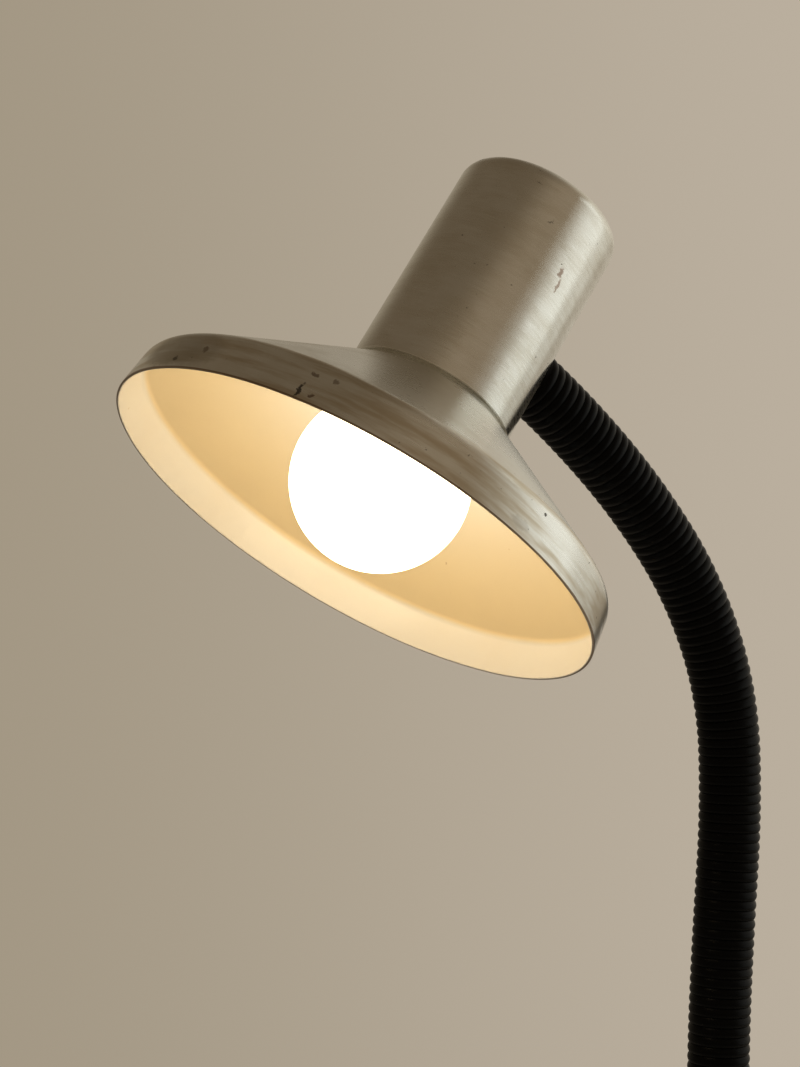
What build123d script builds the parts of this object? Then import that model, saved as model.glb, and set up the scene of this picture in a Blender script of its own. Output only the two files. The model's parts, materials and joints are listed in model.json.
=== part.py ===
from build123d import *
import math
import os

# Gooseneck reading floor lamp.  Millimetres, +Z up, origin at the middle of the base's underside.
# The neck bends in the XZ plane and the head leans out towards -X.

# ---- clearances ----
seat_gap = 0.05          # between round pieces that are fixed to each other
running_gap = 0.06       # radial, between a turning or sliding piece and its bore
loose_gap = 0.3          # between pieces that only pass each other
thread_gap = 0.2         # radial, round a threaded piece in a plain hole
over = 1.0               # how far a cut reaches past what it cuts

# ---- base ----
base_radius = 120.0
pad_inset = 6.0
pad_thickness = 3.0
weight_thickness = 21.0
weight_chamfer = 4.0
weight_foot_chamfer = 2.0
hollow_radius = 70.0
hollow_depth = 9.0
nut_pocket_radius = 24.0
nut_pocket_depth = 16.0
boss_height = 2.8
cover_thickness = 1.2
cover_fall = 2.0         # how much lower the cover's edge is than its middle
cover_round = 6.0
cover_lift = 1.5         # the skirt's lower edge above the floor
channel_width = 11.0
channel_depth = 11.0
grommet_height = 8.5     # its axis above the floor
grommet_wall = 1.5
grommet_flange = 5.0
grommet_lip = 1.6
grommet_bevel = 0.8

# ---- cable ----
lead_radius = 2.5
lead_gap = 0.4
lead_bend = 7.5
lead_short = 2.0         # where the lead's sheath ends, inside the neck's end fitting
wire_radius = 0.9
wire_gap = 0.4
wire_bend = 2.0
wire_spread = 1.4        # each wire's distance from the head's middle plane
wire_slot = (4.2, 8.0)
wire_in_cap = 1.5
neutral_height = 34.5    # where the neutral wire goes into the holder's cap, above the holder's seat

# ---- threads and fasteners ----
stud_radius = 5.0
stud_bore = 3.7
stud_proud = 0.8
stud_short = 2.0
nut_flange_radius = 12.0
nut_flange = 1.5
nut_flats = 17.0
nut_thickness = 4.0
thin_nut_flats = 14.0
thin_nut_thickness = 3.0
nipple_proud = 2.5

# ---- pole ----
pole_radius = 11.0
pole_wall = 1.5
collar_width = 11.0      # from the pole out to the collar's edge
collar_height = 16.0
collar_foot = 3.0
collar_neck_wall = 2.5
collar_ledge = 1.5
collar_edge = 1.0
collar_margin = 2.0      # how far the flat under the collar reaches past it
foot_length = 22.0
joint_height = 445.0
joint_ring = 3.0
joiner_reach = 30.0
joiner_bore = 6.0
bush_flange = 3.0
bush_length = 18.0
bush_edge = 0.6
spigot_radius = 6.0
spigot_bore = 3.2
spigot_tail = 2.0
clip_thickness = 1.2
clip_slack = 0.1
clip_clearance = 1.0     # round the clip, inside the pole
clip_groove = 1.0        # depth of the groove that the clip snaps into
clip_mouth = 7.0
ferrule_floor = 4.0
ferrule_wall = 1.6
ferrule_height = 20.0
ferrule_foot_round = 2.0
ferrule_edge = 1.0

# ---- neck: one turn in degrees for each segment, from the pole up, positive towards -X ----
neck_foot_height = 867.0
neck_turns = (0.0, 0.0, -3.5, -1.5, 7.1, 20.4, 16.6, 9.2, 6.7)
bend_limit = 11.0        # the most that one joint of the neck turns either way
bend_gap = 0.2           # left between two sleeves at that limit
ribs_per_segment = 12
rib_pitch = 3.5
rib_groove = 0.95
rib_flank = 0.35
rib_depth = 0.7
sleeve_radius = 11.35
sleeve_wall = 1.65
core_gap = 0.4
core_bore = 4.6
core_lip = 3.8           # where a link's socket starts above the ball's centre
lead_lip = 2.0
ball_proud = 0.1         # how much wider a link's ball is than its bar
ball_gap = 0.3

# ---- cup and shade: heights are along the cup's axis, from the seam between cup and shade ----
cup_radius = 29.4
cup_wall = 1.0
cup_round = 5.5
vent_count = 8
vent_radius = 1.6
vent_circle = 18.0
neck_entry = 32.7
end_flange = 2.0
end_plug = 8.0
spigot_height = 22.0     # top of the shade's neck, where the bulb holder sits
spigot_round = 1.2
shade_thickness = 1.0
shade_flare = 6.0
flare_drop = 2.4
shoulder_radius = 86.3
shoulder_drop = 37.2
shoulder_round = 5.0
skirt_height = 14.2
skirt_flare = 1.5
ring_gap = 0.85
ring_height = 6.0
ring_taper = (2.0, 3.0)
ring_edge = 0.8
ring_notches = 12
notch_radius = 1.4
notch_offset = 0.6
notch_stop = 1.2

# ---- bulb holder and bulb: heights are from the holder's seat on the shade's neck ----
holder_rim = -8.0
holder_thread = 19.9
holder_radius = 19.5
holder_shoulder = 22.5
shoulder_height = 4.0
holder_bore = 15.9
holder_step = 23.0
holder_top = 32.0
holder_edge = 0.8
cap_thread = 18.0
cap_wall = 1.8
cap_roof = 2.0
cap_top = 39.0
cap_round = 4.0
cap_boss_radius = 8.0
cap_boss = 2.0
cap_boss_round = 1.0
nipple_sunk = 4.0
insert_thickness = 6.0
terminal_hole = 1.6
terminal_offset = 9.0
shell_bottom = -2.0
shell_top = 25.5
shell_sheet = 0.45
shell_opening = 10.0
contact_sheet = 0.5
contact_width = 5.0
contact_pad = 2.0        # half the length of the pad on the bulb's tip
contact_slope = 4.6      # where the strip's slope ends
contact_foot = 9.0
bulb_radius = 30.0
bulb_centre = -53.3
bulb_wall = 0.8
bulb_neck = 13.2
bulb_shoulder = -10.0    # height where the glass is as narrow as its neck
neck_step = 1.2
glass_in_cap = 4.0
bulb_cap_radius = 13.05
bulb_cap_sheet = 0.5
bulb_cap_floor = 1.0
bulb_cap_round = 2.0
bulb_cap_bottom = -3.0
bulb_cap_top = 19.0
bulb_tip = 23.0
tip_radius = 4.0
tip_taper = (1.0, 1.2)

# ---- bracket and switch ----
bracket_sheet = 1.5
bracket_width = 14.0
bracket_below = 7.7      # how far the bracket's leg reaches below the neck's axis
bracket_reach = 9.0
bracket_bend = 1.0
switch_gap = 1.5         # between the holder's nipple and the switch
switch_height = 12.5
switch_radius = 10.5
switch_edge = 1.0
switch_terminal = 7.0
bushing_proud = 3.0
bushing_edge = 0.4
bezel_radius = 7.5
bezel_height = 2.2
bezel_edge = 0.8
button_radius = 3.4
button_sunk = 3.0        # how far the button's foot lies below the cup's roof
button_proud = 4.5
button_travel = 2.5
button_round = 1.4

# ---- sizes that follow ----
segment_length = ribs_per_segment * rib_pitch
segments = len(neck_turns)
sleeve_bore = sleeve_radius - rib_depth - sleeve_wall
core_radius = sleeve_bore - core_gap
joint_gap = sleeve_radius * math.tan(math.radians(bend_limit)) + bend_gap
pole_bore = pole_radius - pole_wall
collar_radius = pole_radius + collar_width
weight_top = pad_thickness + weight_thickness
boss_top = weight_top + boss_height
foot_height = boss_top + cover_thickness
pocket_top = pad_thickness + nut_pocket_depth
ferrule_bottom = neck_foot_height - ferrule_floor
bush_top = ferrule_bottom - running_gap
pole_top = bush_top - bush_flange
bush_bottom = pole_top - bush_length
clip_top = bush_bottom - running_gap
clip_bottom = clip_top - clip_thickness
spigot_end = clip_bottom - spigot_tail
cap_end = cap_top + cap_boss
arm_height = spigot_height + cap_end
nipple_top = cap_end + bracket_sheet + thin_nut_thickness + nipple_proud
switch_bottom = spigot_height + nipple_top + switch_gap
cup_roof = switch_bottom + switch_height
cup_height = cup_roof + cup_wall
cup_inside = cup_radius - cup_wall
button_foot = cup_roof - button_sunk
button_well = button_foot - button_travel - loose_gap
shade_spigot = cup_inside - loose_gap / 2
ring_radius = shade_spigot - shade_thickness - ring_gap
shell_radius = bulb_cap_radius + shell_sheet + loose_gap
leg_face = math.sqrt(cup_inside**2 - (bracket_width / 2) ** 2) - seat_gap
nut_face = leg_face - bracket_sheet
stub_end = nut_face - thin_nut_thickness - thread_gap
wire_line = (stub_end + holder_radius + cap_wall / 2) / 2


def turned(points, rounds=None):
    """A solid turned about Z from a profile of (radius, height) points, some corners rounded."""
    profile = make_face(Polyline(*points, close=True))
    for index, radius in (rounds or {}).items():
        corner = profile.vertices().sort_by_distance(Vector(*points[index]))[0]
        profile = fillet(corner, radius)
    return revolve(Plane.XZ * profile, Axis.Z)


def tube(outer, inner, bottom, top):
    """A straight tube about Z."""
    return turned([(inner, bottom), (outer, bottom), (outer, top), (inner, top)])


def rod(radius, bottom, top):
    """A straight round bar about Z."""
    return Pos(0, 0, bottom) * extrude(Circle(radius), top - bottom)


def rod_along_x(radius, start, end):
    """A straight round bar along X."""
    return Rot(0, 90, 0) * rod(radius, start, end)


def hex_nut(flats, thickness, bore):
    """A hexagon nut that lies on the XY plane."""
    blank = extrude(RegularPolygon(flats / 2, 6, major_radius=False), thickness)
    return blank - rod(bore, -over, thickness + over)


def bent_wire(radius, bend, *points):
    """A round wire along straight runs joined by equal arcs."""
    path = FilletPolyline(*points, radius=bend)
    start = Plane(origin=path @ 0, z_dir=path % 0)
    return sweep(start * Circle(radius), path=path)


def save(name, shape):
    export_step(shape, f"parts/{name}.step")


# ---- base ----


def base_pad():
    return rod(base_radius - pad_inset, 0, pad_thickness)


def base_weight():
    edge = base_radius - cover_thickness - loose_gap
    step = pad_thickness + hollow_depth
    bore = stud_radius + loose_gap
    boss_radius = collar_radius - collar_margin
    body = turned([
        (bore, pocket_top), (nut_pocket_radius, pocket_top), (nut_pocket_radius, step),
        (hollow_radius, step), (hollow_radius, pad_thickness), (edge - weight_foot_chamfer, pad_thickness),
        (edge, pad_thickness + weight_foot_chamfer), (edge, weight_top - weight_chamfer),
        (edge - weight_chamfer, weight_top), (boss_radius, weight_top),
        (boss_radius, boss_top), (bore, boss_top),
    ])
    channel = Pos(hollow_radius - over, 0, pad_thickness) * Box(
        base_radius - hollow_radius + over, channel_width, channel_depth,
        align=(Align.MIN, Align.CENTER, Align.MIN),
    )
    return body - channel


def base_cover():
    inside = base_radius - cover_thickness
    flat = collar_radius + collar_margin
    low = boss_top - cover_fall
    bore = stud_radius + loose_gap
    shell = turned(
        [
            (bore, boss_top), (flat, boss_top), (inside, low), (inside, cover_lift), (base_radius, cover_lift),
            (base_radius, low + cover_thickness), (flat, foot_height), (bore, foot_height),
        ],
        {5: cover_round, 2: cover_round - cover_thickness},
    )
    return shell - Pos(0, 0, grommet_height) * rod_along_x(
        lead_radius + grommet_wall, inside - over, base_radius + over
    )


def cord_grommet():
    wall_in = math.sqrt((base_radius - cover_thickness) ** 2 - grommet_flange**2)
    bore = lead_radius + lead_gap
    waist = lead_radius + grommet_wall - seat_gap
    body = turned([
        (bore, wall_in - grommet_lip), (grommet_flange, wall_in - grommet_lip),
        (grommet_flange, wall_in - seat_gap), (waist, wall_in - seat_gap), (waist, base_radius + seat_gap),
        (grommet_flange, base_radius + seat_gap), (grommet_flange - grommet_bevel, base_radius + grommet_lip),
        (bore, base_radius + grommet_lip),
    ])
    return Pos(0, 0, grommet_height) * Rot(0, 90, 0) * body


def base_stud():
    bottom = pocket_top - nut_flange - nut_thickness - stud_proud
    return tube(stud_radius, stud_bore, bottom, foot_height + foot_length - stud_short)


def base_nut():
    """A hexagon nut with its own flange, clamped up against the weight."""
    bore = stud_radius + seat_gap
    bottom = pocket_top - nut_flange - nut_thickness
    flange = tube(nut_flange_radius, bore, pocket_top - nut_flange, pocket_top)
    return flange + Pos(0, 0, bottom) * hex_nut(nut_flats, nut_thickness, bore)


def stand_lead():
    start = base_radius - cover_thickness - grommet_lip
    end = spigot_end - loose_gap
    return bent_wire(lead_radius, lead_bend, (start, 0, grommet_height), (0, 0, grommet_height), (0, 0, end))


# ---- pole ----


def pole_collar():
    inner = pole_radius + seat_gap
    outer = inner + collar_neck_wall
    flange_top = foot_height + collar_foot
    top = foot_height + collar_height
    return turned(
        [
            (inner, foot_height), (collar_radius, foot_height), (collar_radius, flange_top),
            (outer, flange_top), (outer, top), (inner, top),
        ],
        {3: collar_radius - outer - collar_ledge, 2: collar_edge, 4: collar_edge},
    )


def pole_foot():
    return tube(pole_bore - seat_gap, stud_radius + seat_gap, foot_height, foot_height + foot_length)


def pole_lower():
    return tube(pole_radius, pole_bore, foot_height, joint_height)


def pole_joiner():
    middle, top = joint_height, joint_height + joint_ring
    plug = pole_bore - seat_gap
    return turned([
        (joiner_bore, middle - joiner_reach), (plug, middle - joiner_reach), (plug, middle),
        (pole_radius, middle), (pole_radius, top), (plug, top), (plug, top + joiner_reach),
        (joiner_bore, top + joiner_reach),
    ])


def pole_upper():
    return tube(pole_radius, pole_bore, joint_height + joint_ring, pole_top)


def pole_bush():
    plug = pole_bore - seat_gap
    bore = spigot_radius + running_gap
    return turned([
        (bore, bush_bottom), (plug, bush_bottom), (plug, pole_top), (pole_radius, pole_top),
        (pole_radius, bush_top), (bore, bush_top),
    ], {4: bush_edge})


def neck_ferrule():
    inner = sleeve_radius + loose_gap - seat_gap
    outer = inner + ferrule_wall
    waist = spigot_radius - clip_groove
    top = neck_foot_height + ferrule_height
    return turned(
        [
            (spigot_bore, spigot_end), (spigot_radius, spigot_end), (spigot_radius, clip_bottom - clip_slack),
            (waist, clip_bottom - clip_slack), (waist, clip_top), (spigot_radius, clip_top),
            (spigot_radius, ferrule_bottom), (outer, ferrule_bottom), (outer, top), (inner, top),
            (inner, neck_foot_height), (spigot_bore, neck_foot_height),
        ],
        {7: ferrule_foot_round, 8: ferrule_edge},
    )


def swivel_clip():
    outer = pole_bore - clip_clearance
    ring = tube(outer, spigot_radius - clip_groove + seat_gap, clip_bottom, clip_top)
    mouth = Pos(-outer, 0, clip_top) * Box(2 * outer, clip_mouth, 4 * clip_thickness)
    return ring - mouth


# ---- neck ----


def further(start, turn, length):
    """Place and lean at a distance along an arc that turns at a steady rate from start."""
    x, z, lean = start
    if turn == 0:
        return (x - length * math.sin(lean), z + length * math.cos(lean), lean)
    rate = math.radians(turn) / segment_length
    end = lean + rate * length
    return (x + (math.cos(end) - math.cos(lean)) / rate, z + (math.sin(end) - math.sin(lean)) / rate, end)


stations = [(0.0, neck_foot_height, 0.0)]
for neck_turn in neck_turns:
    stations.append(further(stations[-1], neck_turn, segment_length))


def neck_plane(k, along):
    """The plane square to segment k's centre line, at a distance from the segment's lower end."""
    x, z, lean = further(stations[k - 1], neck_turns[k - 1], along)
    return Plane(origin=(x, 0, z), x_dir=(0, 1, 0), z_dir=(-math.sin(lean), 0, math.cos(lean)))


def neck_rod(k, radius, start, end):
    """A round bar that follows segment k's arc."""
    face = neck_plane(k, start) * Circle(radius)
    turn = neck_turns[k - 1]
    if turn == 0:
        return extrude(face, end - start)
    x, z, lean = further(stations[k - 1], turn, start)
    reach = segment_length / math.radians(turn)
    centre = (x - reach * math.cos(lean), 0, z - reach * math.sin(lean))
    axis = Axis(centre, (0, -math.copysign(1, turn), 0))
    return revolve(face, axis, abs(turn) * (end - start) / segment_length)


def ball(k, radius):
    """A ball at the upper end of segment k."""
    x, z, lean = stations[k]
    return Pos(x, 0, z) * Rot(0, -math.degrees(lean), 0) * Sphere(radius)


def neck_sleeve(k):
    root = sleeve_radius - rib_depth
    low_end = 0.0 if k == 1 else joint_gap / 2
    high_end = segment_length - (0.0 if k == segments else joint_gap / 2)
    rings = [(0.0, root)] if k == 1 else []
    for rib in range(ribs_per_segment):
        low = max(rib * rib_pitch + rib_groove / 2, low_end)
        high = min((rib + 1) * rib_pitch - rib_groove / 2, high_end)
        crest = (low + rib_flank, high - rib_flank)
        rings += [(low, root), (crest[0], sleeve_radius), (crest[1], sleeve_radius), (high, root)]
    if k == segments:
        rings.append((segment_length + root**2 / cup_radius, root))
    body = loft([neck_plane(k, along) * Circle(radius) for along, radius in rings], ruled=True)
    body -= neck_rod(k, sleeve_bore, low_end - over, rings[-1][0] + over)
    if k == segments:
        room = 2 * sleeve_radius
        body -= head_place * rod(cup_radius + seat_gap, neck_entry - room, neck_entry + room)
    return body


def neck_core(k):
    low = 0.0 if k == 1 else core_lip
    high = segment_length - (end_flange + seat_gap if k == segments else 0)
    link = neck_rod(k, core_radius, low, high)
    if k < segments:
        link += ball(k, core_radius + ball_proud)
    if k > 1:
        link -= ball(k - 1, core_radius + ball_proud + ball_gap)
    return link - neck_rod(k, core_bore, low - over, high + core_radius + over)


def neck_lead(k):
    low = spigot_end - neck_foot_height if k == 1 else lead_lip
    high = segment_length
    if k == segments:
        high += cup_radius - stub_end - lead_short
    link = neck_rod(k, lead_radius, low, high)
    if k < segments:
        link += ball(k, lead_radius + ball_proud)
    if k > 1:
        link -= ball(k - 1, lead_radius + ball_proud + ball_gap)
    return link


# ---- head ----

tip_x, tip_z, tip_lean = stations[-1]
head_tilt = 90 - math.degrees(tip_lean)
entry_place = Pos(tip_x, 0, tip_z) * Rot(0, head_tilt, 0)
head_place = entry_place * Pos(-cup_radius, 0, -neck_entry)
holder_place = head_place * Pos(0, 0, spigot_height)


def cup():
    hole = stud_radius + thread_gap
    body = turned(
        [
            (cup_inside, 0), (cup_radius, 0), (cup_radius, cup_height), (hole, cup_height), (hole, cup_roof),
            (cup_inside, cup_roof),
        ],
        {2: cup_round, 5: cup_round - cup_wall},
    )
    body -= Pos(0, 0, neck_entry) * rod_along_x(hole, cup_inside - over, cup_radius + over)
    for place in PolarLocations(vent_circle, vent_count, start_angle=180 / vent_count):
        body -= place * rod(vent_radius, cup_roof - over, cup_height + over)
    return body


def shade():
    t = shade_thickness
    bore = holder_thread + loose_gap
    rim_radius = shoulder_radius + skirt_flare
    rim_drop = shoulder_drop + skirt_height
    slope = math.atan2(shoulder_drop - flare_drop, shoulder_radius - shade_spigot)
    skirt = math.atan2(skirt_height, skirt_flare)
    flare_in = t * math.tan((math.pi / 2 - slope) / 2)
    bisector = (slope + skirt) / 2
    reach = t / math.cos((skirt - slope) / 2)
    return turned(
        [
            (bore, spigot_height), (shade_spigot, spigot_height), (shade_spigot, -flare_drop),
            (shoulder_radius, -shoulder_drop), (rim_radius, -rim_drop), (rim_radius - t, -rim_drop),
            (shoulder_radius - reach * math.sin(bisector), -shoulder_drop - reach * math.cos(bisector)),
            (shade_spigot - t, -flare_drop - flare_in), (shade_spigot - t, spigot_height - t),
            (bore, spigot_height - t),
        ],
        {2: shade_flare, 7: shade_flare + t, 3: shoulder_round, 6: shoulder_round - t, 1: spigot_round},
    )


def shade_ring():
    """The threaded ring, notched for the fingers, that clamps the shade against the holder."""
    top = spigot_height - shade_thickness
    bottom = top - ring_height
    bore = holder_thread + seat_gap
    ring = turned(
        [
            (bore, bottom), (ring_radius - ring_taper[0], bottom), (ring_radius, bottom + ring_taper[1]),
            (ring_radius, top), (bore, top),
        ],
        {1: ring_edge, 2: ring_edge},
    )
    for place in PolarLocations(ring_radius + notch_offset, ring_notches):
        ring -= place * rod(notch_radius, bottom - over, top - notch_stop)
    return ring


def holder_body():
    return turned(
        [
            (holder_bore, holder_rim), (holder_thread, holder_rim), (holder_thread, 0), (holder_shoulder, 0),
            (holder_shoulder, shoulder_height), (holder_radius, shoulder_height), (holder_radius, holder_step),
            (cap_thread, holder_step), (cap_thread, holder_top), (holder_bore, holder_top),
        ],
        {1: holder_edge, 4: holder_edge},
    )


def screw_shell():
    inner = shell_radius - shell_sheet
    under = shell_top - shell_sheet
    return turned([
        (inner, shell_bottom), (shell_radius, shell_bottom), (shell_radius, shell_top),
        (shell_opening, shell_top), (shell_opening, under), (inner, under),
    ])


def holder_insert():
    top = shell_top + insert_thickness
    disc = rod(holder_bore - seat_gap, shell_top, top)
    for side in (-1, 1):
        disc -= Pos(side * terminal_offset, 0, 0) * rod(terminal_hole, shell_top - over, top + over)
    return disc


def centre_contact():
    """A bent strip from the bulb's tip up to the underside of the insert."""
    tip = bulb_tip + seat_gap
    foot = shell_top - contact_sheet
    inset = contact_sheet * math.tan(math.atan2(foot - tip, contact_slope - contact_pad) / 2)
    outline = Polyline(
        (-contact_pad, tip), (contact_pad, tip), (contact_slope, foot), (contact_foot, foot),
        (contact_foot, shell_top), (contact_slope - inset, shell_top),
        (contact_pad - inset, tip + contact_sheet), (-contact_pad, tip + contact_sheet), close=True,
    )
    return extrude(Plane.XZ * make_face(outline), contact_width / 2, both=True)


def holder_cap():
    inner = cap_thread + thread_gap
    outer = inner + cap_wall
    hole = stud_radius + seat_gap
    bottom = holder_step + loose_gap
    under = cap_top - cap_roof
    body = turned(
        [
            (inner, bottom), (outer, bottom), (outer, cap_top), (cap_boss_radius, cap_top),
            (cap_boss_radius, cap_end), (hole, cap_end), (hole, under), (inner, under),
        ],
        {2: cap_round, 7: cap_round - cap_roof, 3: cap_boss_round},
    )
    return body - Pos(0, -wire_spread, neutral_height) * rod_along_x(
        wire_radius + wire_gap, inner - 2 * cap_wall, outer + over
    )


def holder_nipple():
    return tube(stud_radius, stud_bore, cap_top - nipple_sunk, nipple_top)


def lock_nuts():
    bore = stud_radius + seat_gap
    nut = hex_nut(thin_nut_flats, thin_nut_thickness, bore)
    on_nipple = Pos(0, 0, arm_height + bracket_sheet) * nut
    on_neck = Pos(nut_face - thin_nut_thickness, 0, neck_entry) * Rot(0, 90, 0) * nut
    return Compound([on_nipple, on_neck])


def holder_bracket():
    foot = neck_entry - bracket_below
    arm_top = arm_height + bracket_sheet
    hole = stud_radius + thread_gap
    front = FilletPolyline(
        (leg_face, foot), (leg_face, arm_top), (-bracket_reach, arm_top), radius=[bracket_bend + bracket_sheet]
    )
    back = FilletPolyline(
        (-bracket_reach, arm_height), (nut_face, arm_height), (nut_face, foot), radius=[bracket_bend]
    )
    ends = [
        Line((-bracket_reach, arm_top), (-bracket_reach, arm_height)), Line((nut_face, foot), (leg_face, foot))
    ]
    face = make_face(front.edges() + back.edges() + ends)
    strap = extrude(Plane.XZ * face, bracket_width / 2, both=True)
    strap -= rod(hole, arm_height - over, arm_top + over)
    strap -= Pos(0, 0, neck_entry) * rod_along_x(hole, nut_face - over, leg_face + over)
    return strap - Pos(wire_line, 0, arm_height) * Box(*wire_slot, 4 * bracket_sheet)


def neck_end():
    """The threaded fitting in the neck's upper end, turned about the neck's own axis."""
    plug = core_bore - loose_gap
    bore = lead_radius + lead_gap
    bottom = -end_flange - end_plug
    top = cup_radius - stub_end
    body = turned([
        (bore, bottom), (plug, bottom), (plug, -end_flange), (core_radius, -end_flange),
        (core_radius, -seat_gap), (stud_radius, -seat_gap), (stud_radius, top), (bore, top),
    ])
    return entry_place * Rot(0, -90, 0) * body


def cup_wires():
    """From the lead's end: live to the switch, neutral into the holder's cap, switched down the nipple."""
    side = wire_spread
    start = stub_end + lead_short - 2 * seat_gap
    switch_end = switch_bottom - seat_gap
    live_height = switch_end - wire_bend - seat_gap
    neutral = spigot_height + neutral_height
    live_wire = bent_wire(
        wire_radius, wire_bend, (start, side, neck_entry), (wire_line, side, neck_entry),
        (wire_line, side, live_height), (switch_terminal, side, live_height),
        (switch_terminal, side, switch_end),
    )
    neutral_wire = bent_wire(
        wire_radius, wire_bend, (start, -side, neck_entry), (wire_line, -side, neck_entry),
        (wire_line, -side, neutral), (cap_thread - wire_in_cap, -side, neutral),
    )
    insert_top = spigot_height + shell_top + insert_thickness
    return Compound([live_wire, neutral_wire, rod(wire_radius, insert_top + thread_gap, switch_end)])


def bulb_outline(wall):
    """The bulb's glass as a solid, drawn in by a wall thickness."""
    radius, neck = bulb_radius - wall, bulb_neck - wall
    # the throat is an arc that touches the ball and runs into the straight neck
    throat = ((bulb_shoulder - bulb_centre) ** 2 + neck**2 - radius**2) / (2 * (radius - neck))
    throat_x = neck + throat
    ball_turn = math.atan2(bulb_shoulder - bulb_centre, throat_x)
    side_turn = (ball_turn - math.pi / 2) / 2
    throat_turn = ball_turn / 2 - math.pi
    bottom = (0, bulb_centre - radius)
    side = (radius * math.cos(side_turn), bulb_centre + radius * math.sin(side_turn))
    touch = (radius * math.cos(ball_turn), bulb_centre + radius * math.sin(ball_turn))
    bend = (throat_x + throat * math.cos(throat_turn), bulb_shoulder + throat * math.sin(throat_turn))
    stem = neck - neck_step
    stem_bottom = bulb_cap_bottom - thread_gap
    top = bulb_cap_bottom + glass_in_cap - wall
    outline = [
        ThreePointArc(bottom, side, touch), ThreePointArc(touch, bend, (neck, bulb_shoulder)),
        Polyline(
            (neck, bulb_shoulder), (neck, stem_bottom - neck_step), (stem, stem_bottom),
            (stem, top), (0, top), bottom,
        ),
    ]
    return revolve(Plane.XZ * make_face(outline), Axis.Z)


def bulb_glass():
    return bulb_outline(0) - bulb_outline(bulb_wall)


def bulb_cap():
    inner = bulb_cap_radius - bulb_cap_sheet
    floor = bulb_cap_top - bulb_cap_floor
    return turned(
        [
            (inner, bulb_cap_bottom), (bulb_cap_radius, bulb_cap_bottom), (bulb_cap_radius, bulb_cap_top),
            (tip_radius + tip_taper[0], bulb_tip - tip_taper[1]), (tip_radius, bulb_tip), (0, bulb_tip),
            (0, floor), (inner, floor),
        ],
        {2: bulb_cap_round},
    )


def switch_body():
    bore = button_radius + running_gap
    shoulder = cup_roof - seat_gap
    top = cup_height + bushing_proud
    return turned([
        (0, switch_bottom), (switch_radius, switch_bottom), (switch_radius, shoulder), (stud_radius, shoulder),
        (stud_radius, top), (bore, top), (bore, button_well), (0, button_well),
    ], {1: switch_edge, 2: switch_edge, 4: bushing_edge})


def switch_bezel():
    top = cup_height + bezel_height
    bore = stud_radius + seat_gap
    return turned([
        (bore, cup_height), (bezel_radius, cup_height), (bezel_radius, top), (bore, top),
    ], {2: bezel_edge})


def switch_button():
    top = cup_height + bushing_proud + button_proud
    return turned([
        (0, button_foot), (button_radius, button_foot), (button_radius, top), (0, top),
    ], {2: button_round})


# ---- every piece goes to its own file ----

os.makedirs("parts", exist_ok=True)

for make in (
    base_pad, base_weight, base_cover, cord_grommet, base_stud, base_nut, stand_lead,
    pole_collar, pole_foot, pole_lower, pole_joiner, pole_upper, pole_bush, neck_ferrule, swivel_clip,
    neck_end,
):
    save(make.__name__, make())

for k in range(1, segments + 1):
    save(f"neck_sleeve_{k}", neck_sleeve(k))
    save(f"neck_core_{k}", neck_core(k))
    save(f"neck_lead_{k}", neck_lead(k))

for make in (
    cup, shade, shade_ring, lock_nuts, holder_bracket, cup_wires, switch_body, switch_bezel, switch_button,
):
    save(make.__name__, head_place * make())

for make in (
    holder_body, screw_shell, holder_insert, centre_contact, holder_cap, holder_nipple, bulb_glass, bulb_cap,
):
    save(make.__name__, holder_place * make())

print("neck tip", [round(v, 2) for v in stations[-1]], "head tilt", round(head_tilt, 2))
print("seam centre", head_place.position, "cup top", (head_place * Pos(0, 0, cup_height)).position)
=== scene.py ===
import json
import math

import bmesh
import bpy
from mathutils import Matrix, Vector


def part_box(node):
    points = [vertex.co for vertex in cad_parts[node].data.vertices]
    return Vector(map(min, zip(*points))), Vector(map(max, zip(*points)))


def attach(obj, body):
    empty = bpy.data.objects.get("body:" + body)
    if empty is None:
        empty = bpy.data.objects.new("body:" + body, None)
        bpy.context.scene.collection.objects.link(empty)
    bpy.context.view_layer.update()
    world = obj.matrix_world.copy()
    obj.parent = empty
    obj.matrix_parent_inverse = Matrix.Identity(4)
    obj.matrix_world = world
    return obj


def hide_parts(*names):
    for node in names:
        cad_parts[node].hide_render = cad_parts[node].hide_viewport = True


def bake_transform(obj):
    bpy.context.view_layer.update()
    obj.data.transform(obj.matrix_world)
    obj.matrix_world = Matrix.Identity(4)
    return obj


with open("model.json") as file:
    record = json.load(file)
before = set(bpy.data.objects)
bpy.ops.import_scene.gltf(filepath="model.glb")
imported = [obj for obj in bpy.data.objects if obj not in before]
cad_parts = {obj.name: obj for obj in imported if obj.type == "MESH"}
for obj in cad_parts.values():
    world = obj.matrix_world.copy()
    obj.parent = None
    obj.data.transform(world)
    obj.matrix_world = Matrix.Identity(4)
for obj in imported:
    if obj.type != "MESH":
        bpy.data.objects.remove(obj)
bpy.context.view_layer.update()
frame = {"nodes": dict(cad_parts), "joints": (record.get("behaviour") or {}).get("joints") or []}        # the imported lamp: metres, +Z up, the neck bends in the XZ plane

MM = 0.001
tiny = 1e-6              # metres or radians that count as none
axis_guard = 1e-9        # square metres added under a root, so that no distance from an axis is 0
crease = 35.0            # degrees, edges sharper than this stay sharp

# ---- camera: the photograph's view, level, from the shade's open side ----
view_turn = 34.0         # degrees, how far the view is turned from +Y towards +X
camera_place = (-0.5443, -0.5996, 1.1575)
camera_lens = 74.2
camera_sensor = 36.0

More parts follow.
